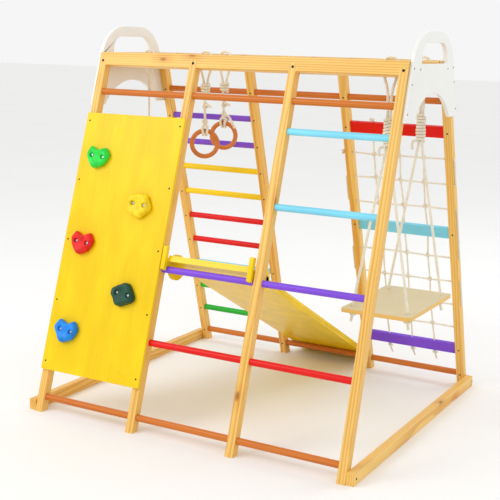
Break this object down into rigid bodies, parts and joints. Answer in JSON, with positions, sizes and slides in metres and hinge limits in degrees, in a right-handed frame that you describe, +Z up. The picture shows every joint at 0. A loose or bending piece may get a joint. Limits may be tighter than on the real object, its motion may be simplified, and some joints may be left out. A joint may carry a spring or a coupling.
{
  "type": "children's climbing frame with monkey bars",
  "caption": "Wooden A-frame climbing gym with overhead monkey bars, ladder rungs, a net, a climbing board, a hooked-on slide, a rope swing, gym rings and a climbing rope.",
  "frame": {"origin": "middle of the whole object's footprint on the floor, swing and slide included", "axes": "+X along the frame towards the swing's end, +Y towards the ladder and net side where the slide ends, +Z up"},
  "size_m": [1.3684, 1.3494, 1.458],
  "materials": {
    "pine": "clear-lacquered planed pine with straight grain",
    "brown_bars": "orange-brown stained round bars, satin",
    "purple_paint": "purple painted wood, satin",
    "red_paint": "red painted wood, satin",
    "light_blue_paint": "light blue painted wood, satin",
    "green_paint": "green painted wood, satin",
    "yellow_paint": "yellow painted board, satin",
    "white_panel": "smooth white coated panel",
    "hold_light_green": "fine-grained moulded climbing hold",
    "hold_yellow": "fine-grained moulded climbing hold",
    "hold_red": "fine-grained moulded climbing hold",
    "hold_dark_green": "fine-grained moulded climbing hold",
    "hold_blue": "fine-grained moulded climbing hold",
    "rope": "off-white twisted cotton rope",
    "ring_wood": "orange-brown lacquered ring",
    "black_steel": "black coated screws and bolts",
    "zinc_steel": "zinc-plated nuts"
  },
  "bodies": {
    "root": {"bar_pins": "pine", "climbing_board": "yellow_paint", "end_cross_pieces": "pine", "end_panel_left": "white_panel", "end_panel_right": "white_panel", "floor_runners": "pine", "frame_bolts": "black_steel", "front_beam": "pine", "hold_blue": "hold_blue", "hold_bolts": "black_steel", "hold_dark_green": "hold_dark_green", "hold_green": "hold_light_green", "hold_red": "hold_red", "hold_yellow": "hold_yellow", "ladder_rungs_green": "green_paint", "ladder_rungs_light_blue": "light_blue_paint", "ladder_rungs_purple": "purple_paint", "ladder_rungs_red": "red_paint", "ladder_rungs_yellow": "yellow_paint", "lower_rails": "brown_bars", "monkey_bars": "pine", "net_board_light_blue": "light_blue_paint", "net_board_purple": "purple_paint", "net_board_red": "red_paint", "net_knots": "rope", "net_ropes": "rope", "nuts": "zinc_steel", "rear_beam": "pine", "rung_purple": "purple_paint", "rung_red": "red_paint", "rungs_light_blue": "light_blue_paint", "upper_rails": "brown_bars", "wood_screws": "black_steel", "front_post_1": "pine", "front_post_2": "pine", "front_post_3": "pine", "front_post_4": "pine", "rear_post_1": "pine", "rear_post_2": "pine", "rear_post_3": "pine", "rear_post_4": "pine"},
    "swing": {"swing_seat": "pine", "swing_rope_front": "rope", "swing_rope_rear": "rope", "swing_knots": "rope"},
    "front_ring_rope": {"ring_rope_front": "rope", "ring_knots_front": "rope"},
    "front_ring": {"gym_ring_front": "ring_wood"},
    "rear_ring_rope": {"ring_rope_rear": "rope", "ring_knots_rear": "rope"},
    "rear_ring": {"gym_ring_rear": "ring_wood"},
    "slide": {"slide_bed": "yellow_paint", "slide_rails": "yellow_paint", "slide_cross_bar": "yellow_paint", "slide_hooks": "yellow_paint", "slide_screws": "black_steel"},
    "climbing_rope": {"climbing_rope": "rope", "climbing_rope_knots": "rope", "climbing_rope_noose": "rope"}
  },
  "joints": [
    {"name": "swing_swing", "type": "hinge", "parent": "root", "child": "swing", "pos_m": [0.55175, -0.05372, 1.339], "axis": [0, -1, 0], "range_deg": [-14, 18]},
    {"name": "front_ring_swing", "type": "hinge", "parent": "root", "child": "front_ring_rope", "pos_m": [-0.24825, -0.13372, 1.339], "axis": [0, -1, 0], "range_deg": [-35, 35]},
    {"name": "front_ring_tilt", "type": "hinge", "parent": "front_ring_rope", "child": "front_ring", "pos_m": [-0.24825, -0.13372, 1.058], "axis": [0.848, 0.5299, 0], "range_deg": [-40, 40]},
    {"name": "rear_ring_swing", "type": "hinge", "parent": "root", "child": "rear_ring_rope", "pos_m": [-0.24825, 0.00928, 1.339], "axis": [0, -1, 0], "range_deg": [-35, 35]},
    {"name": "rear_ring_tilt", "type": "hinge", "parent": "rear_ring_rope", "child": "rear_ring", "pos_m": [-0.24825, 0.00928, 1.081], "axis": [0.9703, 0.2419, 0], "range_deg": [-40, 40]},
    {"name": "slide_lift", "type": "hinge", "parent": "root", "child": "slide", "pos_m": [-0.00825, -0.48256, 0.573], "axis": [1, 0, 0], "range_deg": [0, 30]},
    {"name": "climbing_rope_swing", "type": "hinge", "parent": "root", "child": "climbing_rope", "pos_m": [-0.56825, -0.05372, 1.339], "axis": [0, -1, 0], "range_deg": [-4, 20]}
  ]
}
